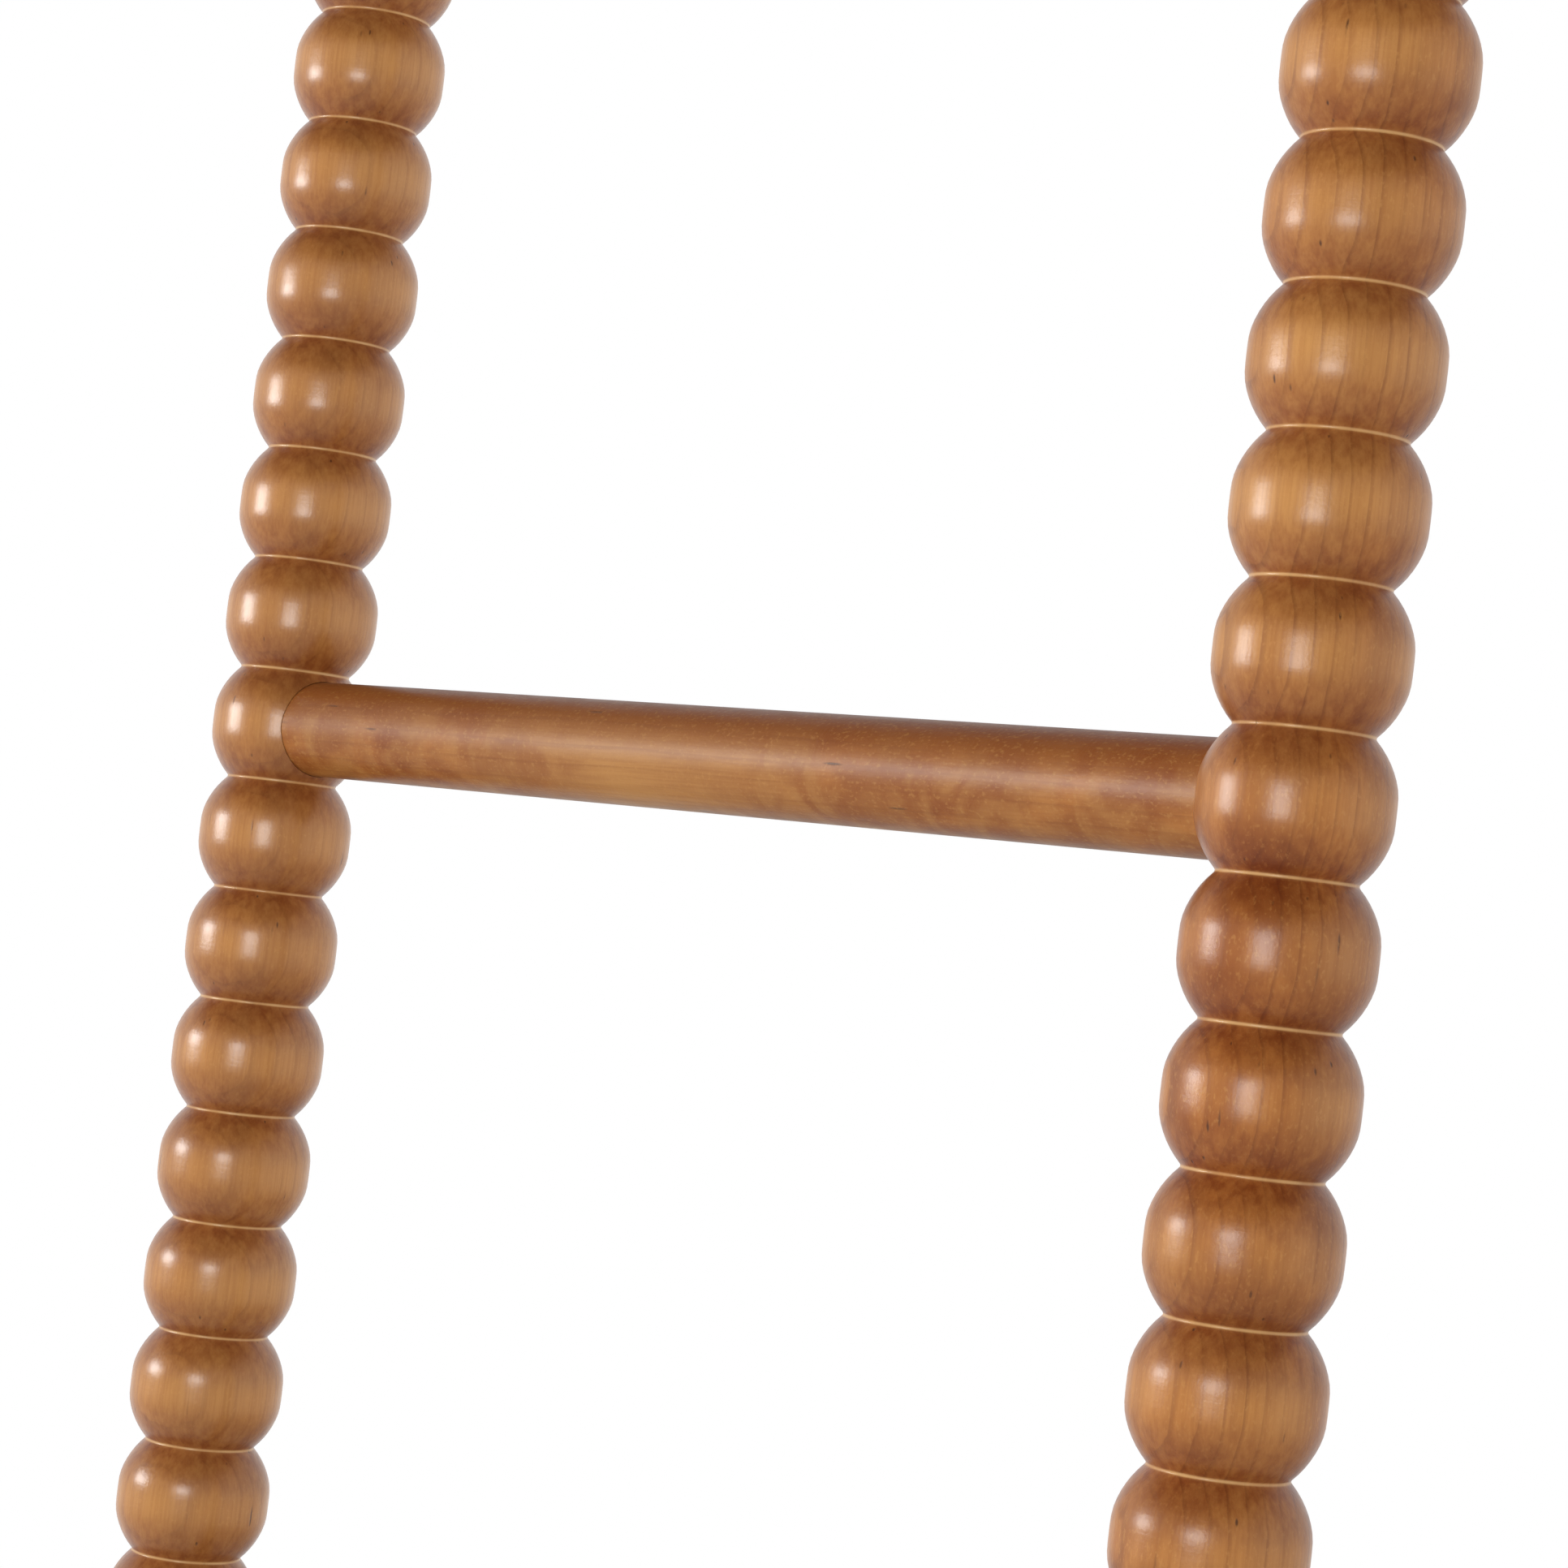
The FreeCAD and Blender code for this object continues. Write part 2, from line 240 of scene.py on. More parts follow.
def rail_place(side):
    """Where a rail's own frame is: its origin at the foot, its Z axis up the rail."""
    x = middle("%s_rail" % side).x
    return Matrix.Translation((x, size.foot.y, size.foot.z)) @ Matrix.Rotation(-size.lean, 4, "X")


def trim(mesh, place, point, normal):
    """Cuts away what lies beyond a plane given in the ladder's frame, and closes the cut."""
    back = place.inverted()
    bm = bmesh.new()
    bm.from_mesh(mesh)
    everything = bm.verts[:] + bm.edges[:] + bm.faces[:]
    cut = bmesh.ops.bisect_plane(
        bm,
        geom=everything,
        plane_co=back @ point,
        plane_no=back.to_3x3() @ normal,
        clear_outer=True,
    )
    rim = [part for part in cut["geom_cut"] if isinstance(part, bmesh.types.BMEdge)]
    bmesh.ops.edgeloop_fill(bm, edges=rim)
    bm.to_mesh(mesh)
    bm.free()


def socket_cutter(side):
    """Round plugs, a hair wider than the rungs, that cut the sockets of one rail."""
    inward = 1 if side == "left" else -1
    bm = bmesh.new()
    depth = size.bead_radius
    for number in range(RUNGS):
        rise = size.first_rise + number * BEADS_PER_STEP * size.pitch
        across = inward * (SOCKET_WEB + depth / 2)
        place = Matrix.Translation((across, 0, rise)) @ Matrix.Rotation(math.pi / 2, 4, "Y")
        bmesh.ops.create_cone(
            bm,
            cap_ends=True,
            segments=TURN_STEPS,
            radius1=size.rung_radius + JOINT_GAP,
            radius2=size.rung_radius + JOINT_GAP,
            depth=depth,
            matrix=place,
        )
    cutter = bpy.data.objects.new("cutter", finish_mesh(bm, "cutter"))
    bpy.context.scene.collection.objects.link(cutter)
    return cutter


def bore(mesh, cutter):
    """The mesh with the cutter's plugs taken out."""
    blank = bpy.data.objects.new("blank", mesh)
    bpy.context.scene.collection.objects.link(blank)
    cut = blank.modifiers.new("sockets", "BOOLEAN")
    cut.object = cutter
    cut.operation = "DIFFERENCE"
    cut.solver = "EXACT"
    bored = bpy.data.meshes.new_from_object(blank.evaluated_get(bpy.context.evaluated_depsgraph_get()))
    for spare in (blank, cutter):
        bpy.data.objects.remove(spare)
    shade(bored)
    return bored


def mark_grooves(mesh):
    """Stores how close each point is to the bottom of a groove, from 0 far away to 1."""
    near = mesh.attributes.new("groove", "FLOAT", "POINT")
    bottom = size.groove_centre - GROOVE_RADIUS
    half = size.pitch / 2
    for vertex in mesh.vertices:
        along = (vertex.co.z - size.lowest_rise) % size.pitch - half
        out = math.hypot(vertex.co.x, vertex.co.y) - bottom
        near.data[vertex.index].value = max(0, 1 - math.hypot(along, out) / GROOVE_REACH)


def make_rail(side, material):
    """One rail: turned, cut level at the foot, planed for the wall and bored for its rungs."""
    name = "%s_rail" % side
    place = rail_place(side)
    mesh = lathe(name, rail_profile())
    trim(mesh, place, size.foot, Vector((0, 0, -1)))
    trim(mesh, place, Vector((0, size.wall, 0)), Vector((0, 1, 0)))
    bored = bore(mesh, socket_cutter(side))
    bored.name = name
    mark_grooves(bored)
    add_piece("turned_%s" % name, bored, place, material, "stained_wood", name)


def make_rung(number, material):
    """One dowel with bevelled ends."""
    name = "rung_%d" % number
    end = size.rung_length / 2
    radius = size.rung_radius
    profile = [(radius - RUNG_BEVEL, -end)]
    profile += [(radius, height) for height in spread(RUNG_BEVEL - end, end - RUNG_BEVEL, RUNG_STEPS)]
    profile.append((radius - RUNG_BEVEL, end))
    place = Matrix.Translation(middle(name)) @ Matrix.Rotation(math.pi / 2, 4, "Y")
    add_piece("dowel_%d" % number, lathe(name, profile), place, material, "stained_wood", name)


# Feet


def eased_corner(corner, before, after, ease):
    """Points round a corner of a profile, from the side of one neighbour to that of the other."""
    corner = Vector(corner)
    start = corner + (Vector(before) - corner).normalized() * ease
    end = corner + (Vector(after) - corner).normalized() * ease
    return eased(start, corner, end)


def make_pad(side, material):
    """A rubber pad with eased rims, countersunk for its screw."""
    name = "%s_foot_pad" % side
    screw = "%s_foot_screw" % side
    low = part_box(name)[0]
    rim = span(name).x / 2
    top = span(name).z
    head = span(screw).x / 2 + PAD_HOLE_GAP
    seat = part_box(screw)[0].z - low.z
    shank = head * PAD_HOLE_SHARE
    corners = [(head, 0), (rim, 0), (rim, top), (shank, top), (shank, seat + head - shank), (head, seat)]
    profile = []
    for number, corner in enumerate(corners):
        before = corners[number - 1]
        after = corners[(number + 1) % len(corners)]
        if corner[0] == rim:
            profile += eased_corner(corner, before, after, PAD_EDGE)
        else:
            profile.append(corner)
    place = Matrix.Translation((middle(name).x, middle(name).y, low.z))
    add_piece("rubber_%s_pad" % side, lathe(name, profile, closed=True), place, material, "rubber", name)


# Shader nodes


def add_node(tree, kind, inputs=None, **settings):
    """A shader node with its settings, its inputs set to values or linked to other nodes' outputs."""
    node = tree.nodes.new("ShaderNode" + kind)
    for name, setting in settings.items():
        setattr(node, name, setting)
    for name, given in (inputs or {}).items():
        fill(tree, node.inputs[name], given)
    return node


def fill(tree, socket, given):
    """Links an input to another node's output, or sets it to a value."""
    if isinstance(given, bpy.types.NodeSocket):
        tree.links.new(given, socket)
    else:
        socket.default_value = given


def calculate(tree, operation, one, other=0.0):
    """The output of a Math node."""
    return add_node(tree, "Math", {0: one, 1: other}, operation=operation).outputs[0]


def remap(tree, given, low, high, to_low=0.0, to_high=1.0):
    """A value moved from one range to another and held inside it, with soft ends."""
    inputs = {"Value": given, "From Min": low, "From Max": high, "To Min": to_low, "To Max": to_high}
    return add_node(tree, "MapRange", inputs, interpolation_type="SMOOTHSTEP").outputs["Result"]


def blend(tree, share, one, other, kind="MIX"):
    """A colour between two others."""
    inputs = {"Factor": share, "A": one, "B": other}
    node = add_node(tree, "Mix", data_type="RGBA", blend_type=kind)
    for socket in node.inputs:
        if socket.name in inputs and socket.enabled:
            fill(tree, socket, inputs[socket.name])
    return next(socket for socket in node.outputs if socket.enabled)


def noise(tree, place, scale, detail, stretch=(1, 1, 1), shift=(0, 0, 0), swirl=0.0):
    """Smooth noise from 0 to 1, so many features to a metre, stretched along the axes and swirled."""
    inputs = {"Vector": place, "Location": shift, "Scale": [scale * share for share in stretch]}
    moved = add_node(tree, "Mapping", inputs).outputs["Vector"]
    inputs = {"Vector": moved, "Scale": 1.0, "Detail": detail, "Distortion": swirl}
    return add_node(tree, "TexNoise", inputs).outputs["Fac"]


def bumped(tree, height, strength, distance):
    """A surface direction roughened by a height."""
    inputs = {"Height": height, "Strength": strength, "Distance": distance}
    return add_node(tree, "Bump", inputs).outputs["Normal"]


def new_material(name):
    """A material with an empty tree, its shader and its output."""
    material = bpy.data.materials.new(name)
    material.use_nodes = True
    tree = material.node_tree
    tree.nodes.clear()
    shader = add_node(tree, "BsdfPrincipled")
    add_node(tree, "OutputMaterial", {"Surface": shader.outputs["BSDF"]})
    return material, tree, shader


# Colours of the stained wood
WARM_WOOD = (0.480, 0.172, 0.034, 1)
GOLD_WOOD = (0.580, 0.272, 0.074, 1)
DEEP_WOOD = (0.295, 0.078, 0.012, 1)
LINE_WOOD = (0.150, 0.036, 0.009, 1)
FLECK_WOOD = (0.060, 0.022, 0.010, 1)
# The next colour pales the groove bottoms, partly as wear and partly as a painted highlight of their glint
GROOVE_WOOD = (0.560, 0.320, 0.125, 1)
# The next tint darkens surfaces that face along the grain, the tops and bottoms of the beads: partly deeper
# stain in end grain, partly painted shade
END_GRAIN_AND_SHADE_TINT = (0.40, 0.19, 0.13, 1)

# Its textures: features to a metre, levels of detail, shares of the scale along X, Y and Z
RING_DRIFT = (14, 2, (1, 1, 0.12))
RING_WANDER = (120, 2, (1, 1, 0.08))
BLOTCH = (70, 5, (1, 1, 0.5))
MOTTLE = (300, 4, (1, 1, 0.5))
# The next texture makes golden specks in the colour: painted glints of fibres catching the light
PAINTED_GLINT = (1000, 2, (1, 1, 0.6))
CLOUD = (12, 2, (1, 1, 0.5))
FIGURE = (75, 3, (0.7, 0.7, 0.8))
FIBRE = (1100, 3, (1, 1, 0.03))
PATCH = (80, 2, (1, 1, 0.3))
POLISH = (260, 2, (1, 1, 0.5))
TURNING = (1300, 2, (0.03, 0.03, 1))
FILM = (1100, 3, (1, 1, 0.7))
FIGURE_SWIRL = 1.2

# Its growth rings: how many to a metre, by how many rings they drift and shiver, and where in each
# ring the dark line rises and falls
RINGS_PER_METRE = 190
RING_DRIFT_TURNS = 2.6
RING_WANDER_TURNS = 0.5
LINE_RISE = (0.74, 0.96)
LINE_FALL = (0.96, 1.0, 1.0, 0.0)
FAINT_LINE_SHARE = 0.25

# Its pores: cells to a metre along X, Y and Z, which cells have one, how far it reaches in its cell
FLECK_CELLS = (620, 620, 60)
FLECK_CHANCES = (0.945, 0.985)
FLECK_REACH = (0.10, 0.32, 1.0, 0.0)
FLECK_SHARE = 0.8

# The range of a texture over which it starts to show, and then the shares it shows with at both ends
BLOTCH_RANGE = (0.36, 0.62)
CLOUD_RANGE = (0.42, 0.74)
FIGURE_RANGE = (0.35, 0.70)
LINE_PATCH_RANGE = (0.32, 0.68)
MOTTLE_SHARES = (0.46, 0.72, 0.0, 0.45)
FIBRE_SHARES = (0.35, 0.72, 0.0, 0.25)
PAINTED_GLINT_SHARES = (0.54, 0.72, 0.0, 0.4)
SOAK_AND_SHADE_SHARES = (0.34, 0.66, 0.8, 1.18)
GROOVE_SHARES = (0.25, 0.90)
WEAR_AND_GLINT_SHARES = (0.35, 0.65, 0.45, 0.9)
END_GRAIN_AND_SHADE_POWER = 0.8

# Its lacquer, and the gloss of the fibres under it
POLISH_RANGE = (0.25, 0.75)
WOOD_ROUGHNESS = (0.40, 0.50)
FIBRE_GLOSS = 0.06
FIBRE_TINT = (1.0, 0.78, 0.50, 1)

# Its relief: how deep it is in the wood and in the lacquer, and the shares of turning marks and fibres
FIBRE_RELIEF = 0.0001
COAT_RELIEF = 0.00003
TURNING_SHARE = 0.35
FIBRE_SHARE = 0.5

# How each rail differs: where its pith is, what shifts its textures, how light, golden and figured it is,
# how deep its stain is all round, how much darker its side away from the pith is from deeper stain and
# painted shade, how strong its ring lines and its lacquer are, and how matt the lacquer is
RAIL_WOODS = {
    "left_rail": dict(
        pith=(-0.037, 0.082), seed=3.1, tone=0.90, gilt=0.65, curl=0.1,
        stain=0.0, far_stain_and_shade=0.0, lines=0.22, coat=0.80, satin=0.27,
    ),
    "right_rail": dict(
        pith=(0.110, 0.134), seed=7.7, tone=0.91, gilt=0.1, curl=0.1,
        stain=0.02, far_stain_and_shade=0.0, lines=0.40, coat=0.62, satin=0.29,
    ),
}

# The rungs are alike, apart from their seed and the side that the pith is on
# On the rungs the side away from the pith is their upper side, darkened partly as deeper stain and partly
# as painted shade from above
RUNG_WOOD = dict(
    tone=0.73, gilt=0.0, curl=0.5, stain=0.08, far_stain_and_shade=0.95, lines=0.25, coat=0.42, satin=0.40,
)
RUNG_PITH = 0.05
RUNG_PITH_STEP = 0.01
RUNG_SEED_STEP = 11.3


def ladder_woods():
    """The nature of every wooden piece, by the name of its node."""
    woods = dict(RAIL_WOODS)
    for number in range(1, RUNGS + 1):
        pith = (RUNG_PITH, RUNG_PITH_STEP * (number - MIDDLE_RUNG))
        woods["rung_%d" % number] = dict(RUNG_WOOD, pith=pith, seed=RUNG_SEED_STEP * number)
    return woods


def growth_rings(tree, place, pith, seed):
    """Growth rings round a pith beside the piece, from 0 in early wood to 1 at the thin dark line."""
    drift = noise(tree, place, *RING_DRIFT, (seed, 0, 0))
    wander = noise(tree, place, *RING_WANDER, (0, seed, 0))
    inputs = {0: place, 1: (pith[0], pith[1], 0)}
    away = add_node(tree, "VectorMath", inputs, operation="SUBTRACT").outputs[0]
    flat = add_node(tree, "VectorMath", {0: away, 1: (1, 1, 0)}, operation="MULTIPLY").outputs[0]
    distance = add_node(tree, "VectorMath", {0: flat}, operation="LENGTH").outputs["Value"]
    rings = calculate(tree, "MULTIPLY", distance, RINGS_PER_METRE)
    warp = calculate(tree, "MULTIPLY", drift, RING_DRIFT_TURNS)
    shiver = calculate(tree, "MULTIPLY", wander, RING_WANDER_TURNS)
    turns = calculate(tree, "ADD", calculate(tree, "ADD", rings, warp), shiver)
    phase = calculate(tree, "FRACT", turns)
    rise = remap(tree, phase, *LINE_RISE)
    fall = remap(tree, phase, *LINE_FALL)
    return calculate(tree, "MULTIPLY", rise, fall)


def flecks(tree, place, seed):
    """Short dark pores along the grain, sparse and thin."""
    inputs = {"Vector": place, "Location": (seed, seed, 0), "Scale": FLECK_CELLS}
    cells = add_node(tree, "Mapping", inputs).outputs["Vector"]
    voronoi = add_node(tree, "TexVoronoi", {"Vector": cells, "Scale": 1.0, "Randomness": 1.0})
    chance = add_node(tree, "SeparateColor", {"Color": voronoi.outputs["Color"]}).outputs["Red"]
    chosen = remap(tree, chance, *FLECK_CHANCES)
    near = remap(tree, voronoi.outputs["Distance"], *FLECK_REACH)
    return calculate(tree, "MULTIPLY", chosen, near)


def end_grain_and_shade(tree):
    """How far the surface turns from along the grain towards end grain, from 0 to 1."""
    normal = add_node(tree, "TexCoord").outputs["Normal"]
    along = add_node(tree, "SeparateXYZ", {"Vector": normal}).outputs["Z"]
    return calculate(tree, "POWER", calculate(tree, "ABSOLUTE", along), END_GRAIN_AND_SHADE_POWER)


def far_side(tree, place, pith):
    """How far a point lies beyond the axis of the piece, away from the pith."""
    way = Vector(pith).normalized()
    inputs = {0: place, 1: (-way.x, -way.y, 0)}
    return add_node(tree, "VectorMath", inputs, operation="DOT_PRODUCT").outputs["Value"]


def toned(colour, tone):
    """A colour made lighter or darker."""
    return [channel * tone for channel in colour[:3]] + [1]


def wood_grain(tree, pith, seed):
    """The textures that a wood's colour and relief share."""
    place = add_node(tree, "TexCoord").outputs["Object"]
    grain = SimpleNamespace(place=place)
    grain.mottle = noise(tree, place, *MOTTLE, (0, seed, seed))
    grain.fibre = noise(tree, place, *FIBRE, (0, 0, seed))
    grain.patch = noise(tree, place, *PATCH, (seed, seed, seed))
    grain.ring = growth_rings(tree, place, pith, seed)
    grain.fleck = flecks(tree, place, seed)
    return grain


def stained_colour(tree, grain, pith, seed, tone, gilt, curl, stain, far_stain_and_shade):
    """The broad colours of the stain: blotches, clouds, a curly figure, and a far side darkened by deeper
    stain and painted shade.
    """
    warm, gold, deep = (toned(colour, tone) for colour in (WARM_WOOD, GOLD_WOOD, DEEP_WOOD))
    blotch = noise(tree, grain.place, *BLOTCH, (0, seed, 0))
    cloud = noise(tree, grain.place, *CLOUD, (seed, seed, 0))
    figure = noise(tree, grain.place, *FIGURE, (seed, 0, 0), FIGURE_SWIRL)
    far = far_side(tree, grain.place, pith)
    low, high = (edge + stain for edge in BLOTCH_RANGE)
    colour = blend(tree, remap(tree, blotch, low, high), deep, warm)
    colour = blend(tree, remap(tree, grain.mottle, *MOTTLE_SHARES), colour, deep)
    colour = blend(tree, remap(tree, cloud, *CLOUD_RANGE, gilt), colour, gold)
    colour = blend(tree, remap(tree, figure, *FIGURE_RANGE, 0.0, curl), colour, gold)
    # The side away from the pith, on the rungs their upper side, is darkened: partly deeper stain, partly
    # painted shade
    return blend(tree, remap(tree, far, 0.0, size.rung_radius, 0.0, far_stain_and_shade), colour, deep)


def grained_colour(tree, grain, colour, seed, tone, lines):
    """A stained colour with ring lines, fibres, pores, painted glints, end grain darker from stain and
    painted shade, and groove bottoms paler from wear and a painted highlight.
    """
    painted_glint = noise(tree, grain.place, *PAINTED_GLINT, (seed, seed, 0))
    groove = add_node(tree, "Attribute", attribute_name="groove").outputs["Fac"]
    faint = lines * FAINT_LINE_SHARE
    strength = remap(tree, grain.patch, *LINE_PATCH_RANGE, faint, lines)
    colour = blend(tree, calculate(tree, "MULTIPLY", grain.ring, strength), colour, LINE_WOOD)
    colour = blend(tree, remap(tree, grain.fibre, *FIBRE_SHARES), colour, toned(DEEP_WOOD, tone))
    colour = blend(tree, calculate(tree, "MULTIPLY", grain.fleck, FLECK_SHARE), colour, FLECK_WOOD)
    # Painted glints: golden specks in the colour that stand in for fibres catching the light
    colour = blend(tree, remap(tree, painted_glint, *PAINTED_GLINT_SHARES), colour, toned(GOLD_WOOD, tone))
    # Surfaces facing along the piece are darkened: partly deeper stain in end grain, partly painted shade
    # from above and in the grooves
    soaked_and_shaded = calculate(tree, "MULTIPLY", end_grain_and_shade(tree), remap(tree, grain.mottle, *SOAK_AND_SHADE_SHARES))
    colour = blend(tree, soaked_and_shaded, colour, END_GRAIN_AND_SHADE_TINT, "MULTIPLY")
    # Groove bottoms made paler and golden: partly wear, partly a painted highlight of the glint along each
    # groove
    worn_and_glint = calculate(
        tree, "MULTIPLY", remap(tree, groove, *GROOVE_SHARES), remap(tree, grain.patch, *WEAR_AND_GLINT_SHARES)
    )
    return blend(tree, worn_and_glint, colour, GROOVE_WOOD)


def set_lacquer(tree, shader, grain, seed, coat, satin):
    """The gloss of the fibres under a satin lacquer."""
    polish = noise(tree, grain.place, *POLISH, (seed, 0, seed))
    tree.links.new(remap(tree, polish, *POLISH_RANGE, *WOOD_ROUGHNESS), shader.inputs["Roughness"])
    shader.inputs["Specular IOR Level"].default_value = FIBRE_GLOSS
    shader.inputs["Specular Tint"].default_value = FIBRE_TINT
    shader.inputs["Coat Weight"].default_value = coat
    shader.inputs["Coat Roughness"].default_value = satin


def set_relief(tree, shader, grain, seed):
    """Marks of the turning, ripples of the lacquer, fibres and sunken pores."""
    turning = noise(tree, grain.place, *TURNING, (0, seed, 0))
    film = noise(tree, grain.place, *FILM, (seed, 0, 0))
    relief = calculate(tree, "ADD", calculate(tree, "MULTIPLY", turning, TURNING_SHARE), film)
    relief = calculate(tree, "ADD", relief, calculate(tree, "MULTIPLY", grain.fibre, FIBRE_SHARE))
    relief = calculate(tree, "SUBTRACT", relief, grain.fleck)
    for socket, depth in (("Normal", FIBRE_RELIEF), ("Coat Normal", COAT_RELIEF)):
        tree.links.new(bumped(tree, relief, 1.0, depth), shader.inputs[socket])


def make_wood(name, pith, seed, tone, gilt, curl, stain, far_stain_and_shade, lines, coat, satin):
    """Stained and lacquered hardwood with its grain along Z."""
    material, tree, shader = new_material("%s_wood" % name)
    grain = wood_grain(tree, pith, seed)
    colour = stained_colour(tree, grain, pith, seed, tone, gilt, curl, stain, far_stain_and_shade)
    colour = grained_colour(tree, grain, colour, seed, tone, lines)
    tree.links.new(colour, shader.inputs["Base Color"])
    set_lacquer(tree, shader, grain, seed, coat, satin)
    set_relief(tree, shader, grain, seed)
    return material


# Rubber of the pads: its colours, its textures as for wood, the range over which dust shows, and from
# which dust to which the roughness goes from one value to the other
RUBBER_BLACK = (0.022, 0.021, 0.020, 1)
RUBBER_GREY = (0.055, 0.052, 0.048, 1)
RUBBER_DUST = (160, 4)
RUBBER_GRAIN = (3200, 2)
RUBBER_DUST_RANGE = (0.45, 0.75)
RUBBER_ROUGHNESS = (0.3, 0.7, 0.55, 0.75)
RUBBER_BUMP = 0.35
RUBBER_RELIEF = 0.0002


def make_rubber():
    """Black moulded rubber, a little dusty."""
    material, tree, shader = new_material("pad_rubber")
    place = add_node(tree, "TexCoord").outputs["Object"]
    dust = noise(tree, place, *RUBBER_DUST)
    grain = noise(tree, place, *RUBBER_GRAIN)
    colour = blend(tree, remap(tree, dust, *RUBBER_DUST_RANGE), RUBBER_BLACK, RUBBER_GREY)
    tree.links.new(colour, shader.inputs["Base Color"])
    tree.links.new(remap(tree, dust, *RUBBER_ROUGHNESS), shader.inputs["Roughness"])
    tree.links.new(bumped(tree, grain, RUBBER_BUMP, RUBBER_RELIEF), shader.inputs["Normal"])
    return material


# Steel of the screws, in the same way, with stain for dust
STEEL_BRIGHT = (0.62, 0.60, 0.55, 1)
STEEL_DULL = (0.50, 0.47, 0.40, 1)
STEEL_MARKS = (5200, 2, (0.2, 0.2, 1))
STEEL_STAIN = (420, 3)
STEEL_STAIN_RANGE = (0.4, 0.7)
STEEL_ROUGHNESS = (0.3, 0.7, 0.28, 0.42)
STEEL_BUMP = 0.3
STEEL_RELIEF = 0.0001


def make_steel():
    """Zinc plated steel with fine turning marks."""
    material, tree, shader = new_material("plated_steel")
    place = add_node(tree, "TexCoord").outputs["Object"]
    marks = noise(tree, place, *STEEL_MARKS)
    stain = noise(tree, place, *STEEL_STAIN)
    colour = blend(tree, remap(tree, stain, *STEEL_STAIN_RANGE), STEEL_BRIGHT, STEEL_DULL)
    tree.links.new(colour, shader.inputs["Base Color"])
    shader.inputs["Metallic"].default_value = 1.0
    tree.links.new(remap(tree, stain, *STEEL_ROUGHNESS), shader.inputs["Roughness"])
    tree.links.new(bumped(tree, marks, STEEL_BUMP, STEEL_RELIEF), shader.inputs["Normal"])
    return material


# Studio: a pale floor, and white walls under a dark ceiling that light the ladder less from in front.
# The ranges say between which distances the floor fades, between which sines of the height the walls
# and the backdrop darken, and between which cosines from the front the walls do.
FLOOR_RADIUS = 3.0
FLOOR_FADE = (0.4, 1.7)
FLOOR_STEPS = 128
FLOOR_COLOUR = (0.80, 0.80, 0.79, 1)
FLOOR_ROUGHNESS = 0.9
WHITE = (1, 1, 1, 1)
CEILING = (0.05, 0.05, 0.05, 1)
CEILING_SINES = (0.05, 0.55)
BACKDROP_SINES = (0.42, 0.75)
FRONT = (0.15, 0.15, 0.15, 1)
FRONT_WAY = (0.17, -0.985, 0)
FRONT_COSINES = (-0.35, 0.55)
AMBIENT = 2.35

# Each softbox: name, degrees round from the front, degrees up, distance, width, height, power in watts
SOFTBOXES = (
    ("softbox_left", -40.0, 11, 2.4, 0.85, 0.60, 34),
    ("softbox_right", 32.8, 8, 1.53, 0.55, 0.42, 11.5),
)


def seen_rays(tree):
    """1 for rays that show the background: straight to the camera, in a gloss or through glass."""
    rays = add_node(tree, "LightPath").outputs
    mirrored = calculate(tree, "MAXIMUM", rays["Is Glossy Ray"], rays["Is Transmission Ray"])
    return calculate(tree, "MAXIMUM", rays["Is Camera Ray"], mirrored)


def make_floor():
    """A pale round floor that takes the ladder's shadow and fades to white far from it."""
    bm = bmesh.new()
    bmesh.ops.create_circle(bm, cap_ends=True, segments=FLOOR_STEPS, radius=FLOOR_RADIUS)
    mesh = bpy.data.meshes.new("floor")
    bm.to_mesh(mesh)
    bm.free()
    floor = bpy.data.objects.new("floor", mesh)
    bpy.context.scene.collection.objects.link(floor)
    mesh.materials.append(make_floor_material())


def make_floor_material():
    """A matt pale surface, white to the camera far from the ladder."""
    material, tree, shader = new_material("pale_floor")
    shader.inputs["Base Color"].default_value = FLOOR_COLOUR
    shader.inputs["Roughness"].default_value = FLOOR_ROUGHNESS
    place = add_node(tree, "TexCoord").outputs["Object"]
    distance = add_node(tree, "VectorMath", {0: place}, operation="LENGTH").outputs["Value"]
    fade = calculate(tree, "MULTIPLY", remap(tree, distance, *FLOOR_FADE), seen_rays(tree))
    glow = add_node(tree, "Emission", {"Color": WHITE, "Strength": 1.0}).outputs["Emission"]
    inputs = {0: fade, 1: shader.outputs["BSDF"], 2: glow}
    mixed = add_node(tree, "MixShader", inputs).outputs["Shader"]
    output = next(node for node in tree.nodes if node.type == "OUTPUT_MATERIAL")
    tree.links.new(mixed, output.inputs["Surface"])
    return material


def make_world():
    """The white studio that is seen, and the walls that light the ladder."""
    world = bpy.data.worlds.new("studio")
    world.use_nodes = True
    bpy.context.scene.world = world
    tree = world.node_tree
    tree.nodes.clear()
    direction = add_node(tree, "TexCoord").outputs["Generated"]
    up = add_node(tree, "SeparateXYZ", {"Vector": direction}).outputs["Z"]
    inputs = {0: direction, 1: FRONT_WAY}
    forward = add_node(tree, "VectorMath", inputs, operation="DOT_PRODUCT").outputs["Value"]
    walls = blend(tree, remap(tree, forward, *FRONT_COSINES), WHITE, FRONT)
    room = blend(tree, remap(tree, up, *CEILING_SINES), walls, CEILING)
    backdrop = blend(tree, remap(tree, up, *BACKDROP_SINES), WHITE, CEILING)
    light = add_node(tree, "Background", {"Color": room, "Strength": AMBIENT}).outputs["Background"]
    plain = add_node(tree, "Background", {"Color": backdrop, "Strength": 1.0}).outputs["Background"]
    mixed = add_node(tree, "MixShader", {0: seen_rays(tree), 1: light, 2: plain}).outputs["Shader"]
    add_node(tree, "OutputWorld", {"Surface": mixed})


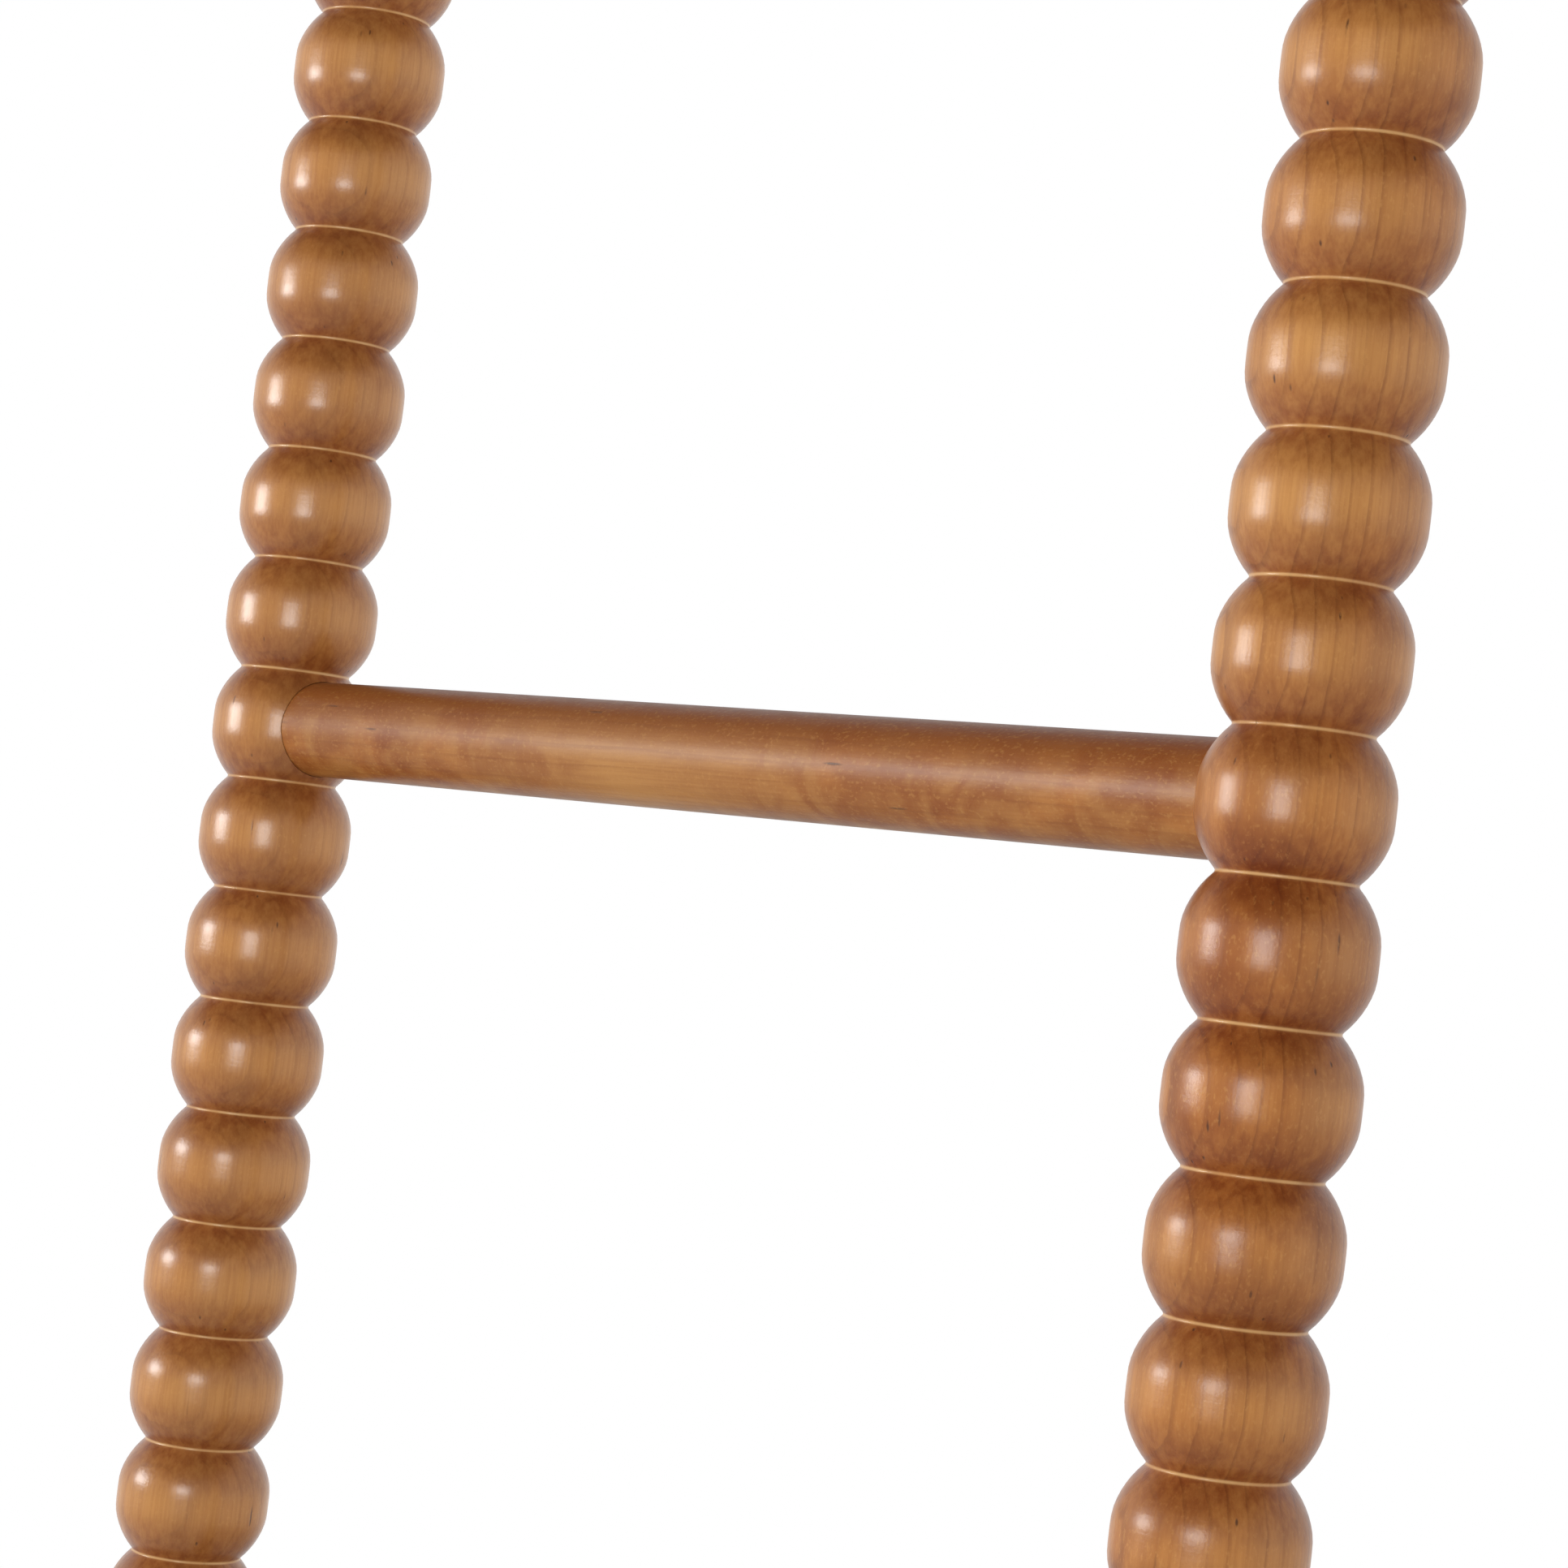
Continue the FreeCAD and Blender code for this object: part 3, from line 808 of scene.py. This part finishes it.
def picture_middle():
    """The middle of the middle rung, from which the lamps and the camera are placed."""
    return middle("rung_%d" % MIDDLE_RUNG)


def make_softbox(name, around, up, distance, width, height, power):
    """One soft lamp that looks at the middle of the ladder."""
    lamp = bpy.data.lights.new(name, "AREA")
    lamp.shape = "RECTANGLE"
    lamp.size = width
    lamp.size_y = height
    lamp.energy = power
    box = bpy.data.objects.new(name, lamp)
    bpy.context.scene.collection.objects.link(box)
    turn = Euler((math.radians(-up), 0, math.radians(around)))
    towards = Vector((0, -1, 0))
    towards.rotate(turn)
    box.location = picture_middle() + towards * distance
    box.rotation_euler = towards.to_track_quat("Z", "Y").to_euler()
    box.visible_camera = False


# The camera of the photograph: its picture's width and focal length in pixels, its sensor in
# millimetres, where it stands from the middle rung in metres and how it is turned in degrees
PHOTO_WIDTH = 1932
FOCAL_PIXELS = 4908.5
SENSOR_WIDTH = 36
CAMERA_FROM_RUNG = (0.9056, -0.7450, 0.0758)
CAMERA_TURN = (85.96, 0.0, 49.6)


def make_camera():
    """The camera of the photograph."""
    lens = bpy.data.cameras.new("camera")
    lens.sensor_width = SENSOR_WIDTH
    lens.lens = FOCAL_PIXELS * SENSOR_WIDTH / PHOTO_WIDTH
    camera = bpy.data.objects.new("camera", lens)
    bpy.context.scene.collection.objects.link(camera)
    camera.location = picture_middle() + Vector(CAMERA_FROM_RUNG)
    camera.rotation_euler = [math.radians(angle) for angle in CAMERA_TURN]
    bpy.context.scene.camera = camera


def main():
    """Builds the pieces, the studio and the camera."""
    woods = {name: make_wood(name, **nature) for name, nature in ladder_woods().items()}
    for side in SIDES:
        make_rail(side, woods["%s_rail" % side])
    for number in range(1, RUNGS + 1):
        make_rung(number, woods["rung_%d" % number])
    rubber = make_rubber()
    steel = make_steel()
    for side in SIDES:
        make_pad(side, rubber)
        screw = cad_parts["%s_foot_screw" % side]
        screw.data.materials.clear()
        screw.data.materials.append(steel)
    make_floor()
    make_world()
    for softbox in SOFTBOXES:
        make_softbox(*softbox)
    make_camera()
    bpy.context.scene.view_settings.view_transform = "Standard"


main()
